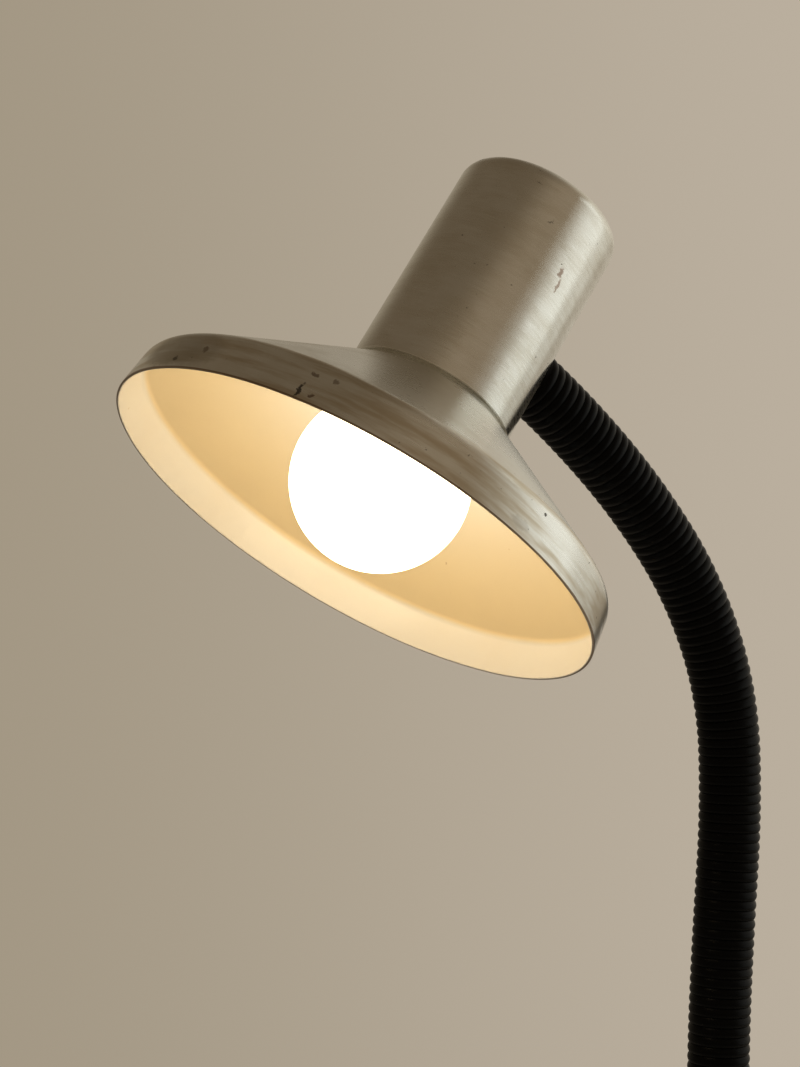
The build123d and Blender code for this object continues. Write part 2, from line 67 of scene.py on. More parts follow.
# ---- cup: heights are along its axis, from the seam between the CAD cup and shade ----
cup_wall = 1.0 * MM
cup_round = 5.5 * MM
cup_lip = 0.25 * MM      # round of the outer lower edge
cup_edge = 1.8 * MM      # height of the lower edge
cup_sides = 192
vent_count = 8
vent_radius = 1.6 * MM
vent_circle = 18.0 * MM  # how far the vents lie from the axis
vent_sides = 32
bushing_hole = 5.2 * MM  # radius of the hole for the switch
bushing_sides = 48

# ---- shade ----
shade_wall = 1.0 * MM
shade_gap = 0.15 * MM    # between the shade's spigot and the cup
shade_sides = 256
spigot_round = 1.2 * MM
spigot_bore = 20.2 * MM  # radius of the opening in the spigot's flat top
cone_top = 1.0 * MM      # height where the cone would meet the spigot without its flare
flare_round = 3.0 * MM
shoulder_radius = 86.3 * MM
shoulder_drop = 37.2 * MM    # how far below the seam the cone turns into the skirt
shoulder_round = 5.0 * MM
rim_round = 0.35 * MM
wave_depth = 0.11 * MM   # of the slowest wave that keeps the shade from being quite round
wave_start = 30.0 * MM   # the waves start this far from the axis
wave_reach = 60.0 * MM   # and have their full depth this much further out

# ---- bulb ----
bulb_radius = 30.0 * MM
bulb_drop = 31.3 * MM    # how far the ball's middle lies below the seam
bulb_neck = 13.2 * MM
bulb_shoulder = 12.0 * MM    # height where the throat's arc turns into the straight neck
bulb_end = 23.0 * MM     # height of the glass's end, inside the cap
bulb_sides = 96
ball_steps = 48
throat_steps = 16
neck_step = 1.2 * MM     # how much narrower the glass is inside the cap
step_top = 4.2 * MM      # where that step starts and ends, down from the glass's end
step_foot = 5.4 * MM

# ---- neck sleeve ----
neck_links = 9
rib_pitch = 3.5 * MM
rib_depth = 0.7 * MM
rib_fullness = 0.75      # under 1: broad crests and narrow grooves
rib_steps = (0.0, 0.04, 0.1, 0.2, 0.35, 0.5, 0.65, 0.8, 0.9, 0.96)
bore_steps = 12          # the plain bore has one ring for each so many outer rings
sleeve_inside = 9.0 * MM
sleeve_sides = 64
bend_share = 0.9         # share of a length, about its joint, counted as bending, its two ends staying stiff; neck() works out that span's ends, which nothing uses


# ---- what the frame says ----


def distinct_points(node):
    """Where a CAD node's vertices are, each place once."""
    places = {tuple(round(c, 7) for c in v.co) for v in frame["nodes"][node].data.vertices}
    return [Vector(p) for p in places]


joints = {joint["name"]: joint for joint in frame["joints"]}
head_up = -Vector(joints["switch_press"]["axis"]).normalized()
head_back = Vector((head_up.z, 0, -head_up.x))
bezel_points = distinct_points("switch_bezel")
axis_point = sum(bezel_points, Vector()) / len(bezel_points)
cup_heights = [(p - axis_point) @ head_up for p in distinct_points("cup")]
seam = axis_point + head_up * min(cup_heights)
cup_height = max(cup_heights) - min(cup_heights)
head_place = Matrix((head_back, (0, 1, 0), head_up)).transposed().to_4x4()
head_place.translation = seam


def head_reach(node):
    """How wide a node of the head is about the cup's axis, and its lowest and highest point along it."""
    local = [head_place.inverted() @ p for p in distinct_points(node)]
    return max(p.xy.length for p in local), min(p.z for p in local), max(p.z for p in local)


cup_radius = head_reach("cup")[0]
rim_radius, rim_height, spigot_height = head_reach("shade")
stations = [Vector((0, 0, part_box("neck_sleeve_1")[0].z))]
stations += [Vector(joints[f"neck_bend_{k}"]["pos_m"]) for k in range(1, neck_links)]
segment_length = (stations[1] - stations[0]).length
sleeve_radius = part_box("neck_sleeve_1")[1].y


def lean_of(direction):
    """The angle of a direction in the XZ plane, from +Z towards -X."""
    return math.atan2(-direction.x, direction.z)


leans = [0.0]
for low, high in zip(stations, stations[1:]):
    leans.append(2 * lean_of(high - low) - leans[-1])
leans.append(lean_of(-head_back))


def along_neck(distance):
    """Place and lean of the neck's centre line at a distance from its foot."""
    k = min(int(distance / segment_length), len(stations) - 1)
    left = distance - k * segment_length
    low, turn = leans[k], leans[k + 1] - leans[k]
    lean = low + turn * left / segment_length
    if abs(turn) < tiny:
        step = Vector((-math.sin(low), 0, math.cos(low))) * left
    else:
        reach = segment_length / turn
        step = Vector((math.cos(lean) - math.cos(low), 0, math.sin(lean) - math.sin(low))) * reach
    return stations[k] + step, lean


# ---- finishes ----


class Socket:
    """An output of a node. Arithmetic with it adds Math nodes."""

    def __init__(self, finish, output):
        self.finish, self.output = finish, output

    def _math(self, operation, first, second):
        return self.finish.add("ShaderNodeMath", {"operation": operation}, {0: first, 1: second})

    def __add__(self, other):
        return self._math("ADD", self, other)

    def __radd__(self, other):
        return self._math("ADD", other, self)

    def __sub__(self, other):
        return self._math("SUBTRACT", self, other)

    def __rsub__(self, other):
        return self._math("SUBTRACT", other, self)

    def __mul__(self, other):
        return self._math("MULTIPLY", self, other)

    def __rmul__(self, other):
        return self._math("MULTIPLY", other, self)

    def __truediv__(self, other):
        return self._math("DIVIDE", self, other)

    def __rtruediv__(self, other):
        return self._math("DIVIDE", other, self)

    def __pow__(self, other):
        return self._math("POWER", self, other)

    def __rpow__(self, other):
        return self._math("POWER", other, self)


class Finish:
    """A material, or the world, that is being made from nodes."""

    def __init__(self, owner):
        self.owner = owner
        owner.use_nodes = True
        self.tree = owner.node_tree
        self.tree.nodes.clear()

    def add(self, kind, settings=None, values=None, output=0):
        """A node of a kind, its settings first and then what its sockets hold. Gives back one output."""
        node = self.tree.nodes.new(kind)
        for name, value in (settings or {}).items():
            if name == "stops":
                ramp = node.color_ramp.elements
                while len(ramp) < len(value):
                    ramp.new(1.0)
                for stop, (position, colour) in zip(ramp, value):
                    stop.position = position
                    stop.color = (*colour, 1)
            else:
                setattr(node, name, value)
        for name, value in (values or {}).items():
            socket = node.inputs[name]
            if isinstance(value, Socket):
                self.tree.links.new(value.output, socket)
            elif socket.type == "RGBA" and len(value) == 3:
                socket.default_value = (*value, 1)
            else:
                socket.default_value = value
        return Socket(self, node.outputs[output]) if len(node.outputs) else node

    def mix(self, share, first, second):
        """A colour between two colours."""
        values = {0: share, 6: first, 7: second}
        return self.add("ShaderNodeMix", {"data_type": "RGBA"}, values, 2)

    def ramp(self, share, *stops):
        """A colour from stops, each a position and its colour."""
        return self.add("ShaderNodeValToRGB", {"stops": stops}, {0: share})

    def step(self, value, low, high):
        """0 where a value is under low, 1 over high, and smooth between."""
        values = {"Value": value, "From Min": low, "From Max": high}
        return self.add("ShaderNodeMapRange", {"interpolation_type": "SMOOTHSTEP"}, values)

    def noise(self, place, scale, detail=3.0, roughness=0.55):
        """Cloudy noise between 0 and 1, with scale lumps to the metre."""
        values = {"Vector": place, "Scale": scale, "Detail": detail, "Roughness": roughness}
        return self.add("ShaderNodeTexNoise", None, values)

    def shift(self, place, by):
        """A vector with another added."""
        return self.add("ShaderNodeVectorMath", {"operation": "ADD"}, {0: place, 1: by})

    def stretch(self, place, by):
        """A vector with each part multiplied by its own number."""
        return self.add("ShaderNodeVectorMath", {"operation": "MULTIPLY"}, {0: place, 1: by})

    def join(self, x, y, z):
        """A vector from three numbers."""
        return self.add("ShaderNodeCombineXYZ", None, {0: x, 1: y, 2: z})

    def split(self, place):
        """The three numbers of a vector."""
        node = self.add("ShaderNodeSeparateXYZ", None, {0: place}).output.node
        return [Socket(self, out) for out in node.outputs]

    def place(self):
        """The point on the piece, in metres, from the piece's own origin."""
        return self.add("ShaderNodeTexCoord", output="Object")

    def round_the_axis(self, place):
        """Distance from the piece's Z, height, and the direction round it as two numbers without a seam."""
        x, y, z = self.split(place)
        radius = (x * x + y * y + axis_guard) ** 0.5
        return radius, z, x / radius, y / radius

    def grain(self, place, lines, breaks):
        """Streaks that run round the piece's Z: lines to the metre across them, and how often one breaks."""
        radius, z, east, north = self.round_the_axis(place)
        spread = self.join(east * breaks, north * breaks, (radius - z) * lines)
        return self.noise(spread, 1.0, detail=4.0, roughness=0.6)

    def lay(self, place, lines, breaks, detail=4.0):
        """Streaks that run along the piece's Z: lines and breaks to the metre."""
        return self.noise(self.stretch(place, (lines, lines, breaks)), 1.0, detail, roughness=0.6)

    def bump(self, height, depth):
        """A normal from a height between 0 and 1 that stands for a depth in metres."""
        return self.add("ShaderNodeBump", None, {"Height": height, "Distance": depth, "Strength": 1.0})

    def length(self, vector):
        """How long a vector is."""
        return self.add("ShaderNodeVectorMath", {"operation": "LENGTH"}, {0: vector}, "Value")

    def along(self, vector, direction):
        """How far a vector reaches in a direction."""
        values = {0: vector, 1: direction}
        return self.add("ShaderNodeVectorMath", {"operation": "DOT_PRODUCT"}, values, "Value")

    def ragged(self, place, scale, reach):
        """The place moved about a little, so that a mark set by it gets a ragged edge."""
        values = {"Vector": place, "Scale": scale, "Detail": 4.0, "Roughness": 0.7}
        jitter = self.shift(self.add("ShaderNodeTexNoise", None, values, "Color"), (-0.5, -0.5, -0.5))
        return self.shift(place, self.stretch(jitter, (reach, reach, reach)))

    def spot(self, place, centre, size):
        """1 at a place on the piece, falling to 0 round it. Centre and size are millimetres along X, Y, Z."""
        away = self.shift(place, tuple(-c * MM for c in centre))
        away = self.stretch(away, tuple(1 / (s * MM) for s in size))
        return self.step(self.length(away), 1.0, 0.6)

    def surface(self, **values):
        """The shader, its sockets named with _ for a space, and the output."""
        sockets = {name.replace("_", " "): value for name, value in values.items()}
        shader = self.add("ShaderNodeBsdfPrincipled", None, sockets)
        self.add("ShaderNodeOutputMaterial", None, {"Surface": shader})
        return self.owner


def finish(name):
    """A new material of that name, still without nodes."""
    return Finish(bpy.data.materials.new(name))


# ---- colours ----
aluminium = (0.79, 0.79, 0.745)
dull_aluminium = (0.59, 0.555, 0.455)
patina = (0.49, 0.405, 0.27)
zinc = (0.70, 0.71, 0.72)
dull_zinc = (0.5, 0.48, 0.36)
steel = (0.62, 0.62, 0.63)
dull_steel = (0.38, 0.37, 0.36)
brass = (0.78, 0.57, 0.27)
dull_brass = (0.45, 0.3, 0.12)
nickel = (0.74, 0.72, 0.66)
dull_nickel = (0.5, 0.44, 0.34)
cut_edge = (0.20, 0.13, 0.07)
rust = (0.16, 0.10, 0.06)
scratch_brown = (0.26, 0.12, 0.06)
soot = (0.03, 0.024, 0.018)
grey_smear = (0.36, 0.33, 0.27)
iron = (0.07, 0.068, 0.066)
rusty_iron = (0.12, 0.095, 0.08)
felt_hollow = (0.012, 0.014, 0.013)
felt_fibre = (0.07, 0.075, 0.07)
cream = (0.98, 0.80, 0.49)
# painted shade: a dull grey for the paint near the bulb, evening out the bulb's strong light there
painted_shade_cream = (0.40, 0.385, 0.35)
# painted light: the skirt's paint greyer than the cone's, standing in for the daylight that falls on the
# skirt
skirt_painted_light_cream = (0.76, 0.74, 0.69)
aged_cream = (0.7, 0.55, 0.35)
fleck_brown = (0.42, 0.27, 0.12)
opal_white = (0.93, 0.91, 0.86)
opal_neck = (0.8, 0.77, 0.7)
lamp_glow = (1.0, 0.81, 0.54)
neck_glow = (0.75, 0.50, 0.26)
pale_glow = (1.0, 0.88, 0.66)
black = (0.001, 0.001, 0.001)
black_dust = (0.016, 0.013, 0.010)
rubber_black = (0.014, 0.014, 0.014)
cable_black = (0.02, 0.02, 0.02)
wire_brown = (0.22, 0.11, 0.05)
holder_black = (0.018, 0.017, 0.016)
ceramic_white = (0.78, 0.76, 0.70)
switch_black = (0.02, 0.02, 0.02)

# ---- the wear that every worked metal has ----
streak_lines = 210.0     # broad stains to the metre
streak_edge = 1.5 * MM   # over which the stains start
bare_edge = 0.25 * MM    # over which a cut edge starts
line_depth = 0.006 * MM  # of the fine worked lines
mark_wander = 3.4 * MM   # how ragged a mark's outline is

# ---- the shade's paint and the lit bulb ----
painted_shade_reach = (84.0 * MM, 36.0 * MM)     # distances from the axis: plain cream beyond, all painted shade within, dulling the paint near the bulb against its strong light
skirt_painted_light_reach = (84.6 * MM, 85.6 * MM)    # between these the paint turns to the skirt's paler, greyer one, painted light for the daylight on the skirt
dim_heights = (-8.0 * MM, 20.0 * MM)    # between these the glass goes dim
lamp_strength = 5.6


def metal(
    name, colour, dull, rough, grain, turned=True, stain=0.25, brushed=0.6, lined=0.6, streaks=0.0,
    streaks_beyond=0.0, bare_below=None, marks=(),
):
    """A worked metal: fine lines round it or along it, cloudy patches and a few dark specks.

    Highlights are drawn out across the lines. Streaks are broad stains that run the same way, beyond a
    distance from the middle. Below bare_below the metal is a dark cut edge. A mark has its centre, its
    size, its colour and its strength.
    """
    f = finish(name)
    place = f.place()
    if turned:
        lines = f.grain(place, grain, breaks=3.0)
        fine = f.grain(place, grain * 4.3, breaks=7.0)
        broad = f.grain(place, streak_lines, breaks=2.2)
    else:
        lines = f.lay(place, grain, breaks=9.0)
        fine = f.lay(place, grain * 3.1, breaks=25.0, detail=3.0)
        broad = f.lay(place, streak_lines, breaks=12.0)
    broad = f.step(broad, 0.4, 0.66)
    if streaks_beyond:
        radius = f.round_the_axis(place)[0]
        broad = broad * f.step(radius, streaks_beyond - streak_edge, streaks_beyond)
    cloud = f.step(f.noise(place, 34.0, detail=5.0, roughness=0.62), 0.42, 0.68)
    specks = f.step(f.noise(place, 620.0, detail=2.0, roughness=0.5), 0.735, 0.78)
    tone = f.mix(cloud * stain + (lines - 0.4) * lined, colour, dull)
    tone = f.mix(broad * streaks, tone, patina)
    tone = f.mix(specks * 0.75, tone, soot)
    if bare_below is not None:
        bare = f.step(f.split(place)[2], bare_below + bare_edge, bare_below)
        tone = f.mix(bare * 0.85, tone, cut_edge)
    worn = specks
    mark_place = f.ragged(place, 520.0, mark_wander) if marks else None
    for centre, size, mark_colour, strength in marks:
        mark = f.spot(mark_place, centre, size) * strength
        tone = f.mix(mark, tone, mark_colour)
        worn = worn + mark
    uneven = (lines - 0.5) * lined * 0.2 + cloud * 0.05 + broad * streaks * 0.08
    return f.surface(
        Base_Color=tone,
        Metallic=1.0,
        Roughness=rough + uneven + worn * 0.2,
        Normal=f.bump(lines + fine * 0.5, line_depth),
        Anisotropic=brushed,
        Anisotropic_Rotation=0.25,
    )


def moulded(name, colour, rough, texture=900.0, depth=0.02, dust=0.12):
    """A plastic or rubber: a fine skin texture, its depth in millimetres, uneven gloss and a little dust."""
    f = finish(name)
    place = f.place()
    skin = f.noise(place, texture)
    cloud = f.noise(place, 40.0, detail=4.0)
    lint = f.step(f.noise(place, 260.0, detail=4.0, roughness=0.7), 0.62, 0.75)
    pale = tuple(0.25 + 0.5 * c for c in colour)
    return f.surface(
        Base_Color=f.mix(lint * dust + (cloud - 0.5) * 0.1, colour, pale),
        Roughness=rough + (cloud - 0.5) * 0.2 + lint * 0.1,
        Normal=f.bump(skin, depth * MM),
    )


def felt():
    """Pressed dark felt: short fibres over soft lumps."""
    f = finish("base_felt")
    place = f.place()
    fibres = f.noise(f.stretch(place, (1.0, 1.0, 0.3)), 1400.0, detail=6.0, roughness=0.75)
    lumps = f.noise(place, 160.0)
    return f.surface(
        Base_Color=f.ramp(fibres, (0.25, felt_hollow), (0.75, felt_fibre)),
        Roughness=0.95,
        Normal=f.bump(fibres + lumps * 0.6, 0.35 * MM),
        Sheen_Weight=0.4,
    )


def cast_iron():
    """A raw casting: a sandy skin with rusty patches."""
    f = finish("cast_weight")
    place = f.place()
    sand = f.noise(place, 420.0, detail=5.0, roughness=0.65)
    patch = f.noise(place, 24.0, detail=4.0)
    return f.surface(
        Base_Color=f.mix(f.step(patch, 0.35, 0.7), iron, rusty_iron),
        Metallic=0.6,
        Roughness=0.6 + sand * 0.25,
        Normal=f.bump(sand, 0.25 * MM),
    )


def enamel():
    """The cream paint inside the shade: a faint skin, a few flecks, painted shade that dulls it near the
    bulb, and a greyer skirt painted for the daylight on it.
    """
    f = finish("shade_enamel")
    place = f.place()
    peel = f.noise(place, 260.0, detail=2.0)
    aged = f.step(f.noise(place, 26.0, detail=4.0), 0.4, 0.75)
    fleck = f.step(f.noise(place, 310.0, detail=2.0), 0.76, 0.8)
    radius = f.round_the_axis(place)[0]
    # painted shade: the paint dulled near the bulb, evening out its strong light
    near_bulb_painted_shade = f.step(radius, *painted_shade_reach)
    # painted light: the skirt's paint turns greyer, standing in for the daylight on it
    skirt = f.step(radius, *skirt_painted_light_reach)
    tone = f.mix(near_bulb_painted_shade, cream, painted_shade_cream)
    tone = f.mix(skirt, tone, skirt_painted_light_cream)
    tone = f.mix(aged * 0.12, tone, aged_cream)
    tone = f.mix(fleck * 0.6, tone, fleck_brown)
    return f.surface(
        Base_Color=tone,
        Roughness=0.38 + aged * 0.08,
        Normal=f.bump(peel, 0.03 * MM),
        Coat_Weight=0.15,
    )


def opal():
    """Lit opal glass: white, a little dimmer and warmer where the glass narrows into its cap."""
    f = finish("bulb_opal")
    place = f.place()
    neck = f.step(f.split(place)[2], *dim_heights)
    haze = f.noise(place, 55.0)
    glow = f.mix(neck, lamp_glow, neck_glow)
    glow = f.mix(f.step(haze, 0.3, 0.8) * 0.08, glow, pale_glow)
    return f.surface(
        Base_Color=f.mix(neck, opal_white, opal_neck),
        Roughness=0.12 + haze * 0.1,
        Normal=f.bump(haze, 0.02 * MM),
        Emission_Color=glow,
        Emission_Strength=lamp_strength,
    )


def neck_black():
    """The black sleeve: a soft satin plastic, unevenly worn, with a little dust on it."""
    f = finish("neck_black")
    place = f.place()
    skin = f.noise(place, 1500.0, detail=4.0, roughness=0.6)
    wear = f.noise(place, 90.0, detail=4.0, roughness=0.65)
    dust = f.step(f.noise(place, 700.0, detail=5.0, roughness=0.7), 0.6, 0.8)
    return f.surface(
        Base_Color=f.mix(dust * 0.2, black, black_dust),
        Roughness=0.36 + (wear - 0.5) * 0.2 + dust * 0.12,
        Normal=f.bump(skin, 0.015 * MM),
        Specular_IOR_Level=0.06,
    )


# ---- marks: centre and size in millimetres in the piece's own axes, colour and strength ----
cup_marks = (
    ((2.9, -29.2, 54.8), (1.3, 4.0, 2.3), scratch_brown, 0.6),
    ((4.4, -29.0, 50.4), (0.8, 4.0, 3.2), scratch_brown, 0.55),
    ((-27.6, 0.6, 81.8), (2.6, 1.8, 0.9), soot, 0.9),
    ((-21.5, -20.1, 40.5), (0.5, 0.5, 0.4), soot, 0.7),
    ((-18.6, -22.8, 42.0), (0.4, 0.4, 0.4), soot, 0.6),
    ((-9.4, -27.9, 66.5), (1.4, 1.4, 0.35), soot, 0.5),
    ((-17.9, -23.3, 76.8), (0.9, 0.9, 0.3), soot, 0.5),
    ((22.0, 19.5, 30.0), (0.9, 0.9, 1.6), rust, 0.6),
)
shade_marks = (
    ((-86.9, -9.2, -47.9), (1.5, 1.6, 1.0), soot, 1.0),
    ((-84.5, -20.5, -43.6), (1.6, 1.8, 1.3), rust, 0.75),
    ((-86.2, -17.5, -47.2), (0.6, 0.6, 0.5), soot, 0.8),
    ((-67.5, -55.7, -48.3), (0.8, 0.8, 3.4), soot, 0.85),
    ((-65.8, -56.6, -41.8), (1.7, 1.7, 0.9), rust, 0.7),
    ((-61.3, -61.3, -41.3), (1.2, 1.2, 1.0), rust, 0.6),
    ((-64.7, -58.9, -48.8), (0.8, 0.8, 1.0), rust, 0.8),
    ((-40.5, -64.8, -31.3), (1.2, 0.7, 0.6), soot, 0.7),
    ((0.8, -87.5, -47.8), (5.0, 3.0, 2.0), grey_smear, 0.25),
    ((7.3, -86.3, -39.8), (0.8, 0.8, 0.6), soot, 0.8),
    ((-7.4, -59.2, -21.2), (3.5, 6.0, 4.0), grey_smear, 0.12),
    ((30.0, 81.5, -44.0), (5.0, 3.0, 1.6), rust, 0.4),
    ((70.0, -20.0, -32.0), (2.6, 2.2, 2.0), grey_smear, 0.3),
    ((-86.0, -10.0, -43.5), (7.0, 26.0, 9.0), grey_smear, 0.4),
    ((-86.0, -4.0, -44.5), (7.0, 20.0, 7.0), grey_smear, 0.35),
)

finishes = {
    "base_felt": felt(),
    "cast_weight": cast_iron(),
    "base_metal": metal("base_metal", aluminium, dull_aluminium, rough=0.3, grain=900.0, stain=0.2),
    "pole_metal": metal(
        "pole_metal", aluminium, dull_aluminium, rough=0.28, grain=2500.0, turned=False, brushed=0.0,
    ),
    "trim_metal": metal("trim_metal", aluminium, dull_aluminium, rough=0.2, grain=2600.0, stain=0.15),
    "cup_metal": metal(
        "cup_metal", aluminium, dull_aluminium, rough=0.24, grain=1700.0, stain=0.3, brushed=0.93,
        lined=0.8, streaks=0.15, marks=cup_marks,
    ),
    "shade_metal": metal(
        "shade_metal", aluminium, dull_aluminium, rough=0.27, grain=1300.0, stain=0.3, brushed=0.85,
        lined=0.3, streaks=0.7, streaks_beyond=shoulder_radius - streak_edge,
        bare_below=rim_height + rim_round, marks=shade_marks,
    ),
    "zinc_steel": metal("zinc_steel", zinc, dull_zinc, rough=0.3, grain=1800.0, brushed=0.0),
    "spring_steel": metal("spring_steel", steel, dull_steel, rough=0.35, grain=1200.0, brushed=0.0),
    "brass": metal("brass", brass, dull_brass, rough=0.28, grain=2000.0, brushed=0.0),
    "neck_black": neck_black(),
    "grommet_rubber": moulded("grommet_rubber", rubber_black, rough=0.62, depth=0.04),
    "cable_sheath": moulded("cable_sheath", cable_black, rough=0.5),
    "wire_sheath": moulded("wire_sheath", wire_brown, rough=0.45),
    "holder_plastic": moulded("holder_plastic", holder_black, rough=0.3, texture=500.0, depth=0.012),
    "holder_ceramic": moulded("holder_ceramic", ceramic_white, rough=0.28, texture=350.0, dust=0.05),
    "bulb_opal": opal(),
    "bulb_metal": metal("bulb_metal", nickel, dull_nickel, rough=0.25, grain=2200.0, brushed=0.0),
    "switch_plastic": moulded("switch_plastic", switch_black, rough=0.34, texture=700.0, depth=0.015),
}
shade_enamel = enamel()  # the paint on the inner faces of the shade

for node in frame["nodes"].values():
    for material_slot in node.material_slots:
        material_slot.material = finishes[material_slot.material.name]


# ---- meshes ----


def piece(name, mesh, place=None):
    """A mesh as an object of the scene, smooth but for its sharp edges."""
    mesh.shade_smooth()
    mesh.set_sharp_from_angle(angle=math.radians(crease))
    made = bpy.data.objects.new(name, mesh)
    bpy.context.scene.collection.objects.link(made)
    if place is not None:
        made.matrix_world = place
    return made


def rounded(points, rounds, steps=7):
    """An outline of (radius, height) points with some corners, by their number, turned into arcs."""
    line = []
    for i, point in enumerate(points):
        corner = Vector(point)
        if i not in rounds:
            line.append(corner)
            continue
        before = (Vector(points[i - 1]) - corner).normalized()
        after = (Vector(points[(i + 1) % len(points)]) - corner).normalized()
        half = before.angle(after) / 2
        middle = corner + (before + after).normalized() * rounds[i] / math.sin(half)
        start = corner + before * rounds[i] / math.tan(half) - middle
        end = corner + after * rounds[i] / math.tan(half) - middle
        sweep = start.angle_signed(end)
        for step in range(steps + 1):
            line.append(middle + Matrix.Rotation(-sweep * step / steps, 2) @ start)
    return line


def turned_mesh(name, line, sides, closed=True, wobble=None):
    """A mesh turned about Z from an outline. wobble(radius, height, turn) may move a point outwards."""
    bm = bmesh.new()
    rings = []
    for radius, height in line:
        if radius < tiny:
            rings.append([bm.verts.new((0, 0, height))] * sides)
            continue
        ring = []
        for side in range(sides):
            turn = 2 * math.pi * side / sides
            out = radius + (wobble(radius, height, turn) if wobble else 0)
            ring.append(bm.verts.new((out * math.cos(turn), out * math.sin(turn), height)))
        rings.append(ring)
    pairs = list(zip(rings, rings[1:] + rings[:1])) if closed else list(zip(rings, rings[1:]))
    for low, high in pairs:
        for side in range(sides):
            after = (side + 1) % sides
            corners = list(dict.fromkeys((low[side], low[after], high[after], high[side])))
            if len(corners) > 2:
                bm.faces.new(corners)
    bmesh.ops.recalc_face_normals(bm, faces=bm.faces)
    mesh = bpy.data.meshes.new(name)
    bm.to_mesh(mesh)
    bm.free()
    return mesh


# ---- cup ----


def circle_points(radius, x, y, height, sides):
    """Points evenly round a level circle."""
    turns = [2 * math.pi * side / sides for side in range(sides)]
    return [(x + radius * math.cos(turn), y + radius * math.sin(turn), height) for turn in turns]


def ring_of_edges(bm, points):
    """A closed loop of new edges through the points, and its vertices."""
    verts = [bm.verts.new(point) for point in points]
    return verts, [bm.edges.new((verts[i - 1], verts[i])) for i in range(len(verts))]


def cup():
    """The cup: a deep-drawn tube with a flat, rounded end, its vent holes cut through."""
    inside = cup_radius - cup_wall
    flat = cup_radius - cup_round
    roof = cup_height - cup_wall
    wall = rounded(
        [
            (flat, roof), (inside, roof), (inside, cup_edge),
            (cup_radius, cup_edge), (cup_radius, cup_height), (flat, cup_height),
        ],
        {1: cup_round - cup_wall, 3: cup_lip, 4: cup_round},
        steps=9,
    )
    mesh = turned_mesh("cup", wall[1:-1], cup_sides, closed=False)  # the arcs reach both end points
    bm = bmesh.new()
    bm.from_mesh(mesh)
    bm.edges.ensure_lookup_table()
    borders = [edge for edge in bm.edges if edge.is_boundary]
    holes = [(0.0, 0.0, bushing_hole, bushing_sides)]
    for vent in range(vent_count):
        turn = 2 * math.pi * (vent + 0.5) / vent_count
        x, y = vent_circle * math.cos(turn), vent_circle * math.sin(turn)
        holes.append((x, y, vent_radius, vent_sides))
    loops = {}
    for height in (roof, cup_height):
        edges = [edge for edge in borders if abs(edge.verts[0].co.z - height) < tiny]
        for x, y, radius, sides in holes:
            verts, ring = ring_of_edges(bm, circle_points(radius, x, y, height, sides))
            loops[height, x, y] = verts
            edges += ring
        bmesh.ops.triangle_fill(bm, use_beauty=True, edges=edges)
    for x, y, _, sides in holes:
        low, high = loops[roof, x, y], loops[cup_height, x, y]
        for i in range(sides):
            bm.faces.new((low[i - 1], low[i], high[i], high[i - 1]))
    bmesh.ops.recalc_face_normals(bm, faces=bm.faces)
    bm.to_mesh(mesh)
    bm.free()
    mesh.materials.append(finishes["cup_metal"])
    made = piece("drawn_cup", mesh, head_place)
    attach(made, "head")
    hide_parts("cup")


# ---- shade ----


def shade_wobble(radius, height, turn):
    """Hand-spun sheet isn't quite round: a few soft waves that grow towards the rim."""
    share = max(0.0, (radius - wave_start) / wave_reach)
    slow, middling, quick = math.sin(3 * turn + 0.6), math.sin(7 * turn + 90 * height), math.sin(13 * turn)
    return wave_depth * share * (slow + 0.6 * middling + 0.35 * quick)


def shade():
    """The spun shade: aluminium outside and on the rim's edge, cream enamel inside."""
    spigot = cup_radius - cup_wall - shade_gap
    slope = math.atan2(shoulder_drop + cone_top, shoulder_radius - spigot)
    skirt = math.atan2(-rim_height - shoulder_drop, rim_radius - shoulder_radius)
    bisector = (slope + skirt) / 2
    reach = shade_wall / math.cos((skirt - slope) / 2)
    flare_in = shade_wall * math.tan((math.pi / 2 - slope) / 2)
    line = rounded(
        [
            (spigot_bore, spigot_height),
            (spigot, spigot_height),
            (spigot, cone_top),
            (shoulder_radius, -shoulder_drop),
            (rim_radius, rim_height),
            (rim_radius - shade_wall, rim_height),
            (shoulder_radius - reach * math.sin(bisector), -shoulder_drop - reach * math.cos(bisector)),
            (spigot - shade_wall, cone_top - flare_in),
            (spigot - shade_wall, spigot_height - shade_wall),
            (spigot_bore, spigot_height - shade_wall),
        ],
        {
            1: spigot_round, 2: flare_round, 3: shoulder_round, 4: rim_round, 5: rim_round,
            6: shoulder_round - shade_wall, 7: flare_round + shade_wall,
        },
    )
    mesh = turned_mesh("shade", line, shade_sides, wobble=shade_wobble)
    mesh.materials.append(finishes["shade_metal"])
    mesh.materials.append(shade_enamel)
    holder_seat = spigot_height - 2 * shade_wall
    for face in mesh.polygons:
        inwards = face.normal.xy @ face.center.xy < 0 and face.center.z < holder_seat
        face.material_index = int(inwards)
    made = piece("spun_shade", mesh, head_place)
    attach(made, "head")
    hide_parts("shade")


# ---- bulb ----


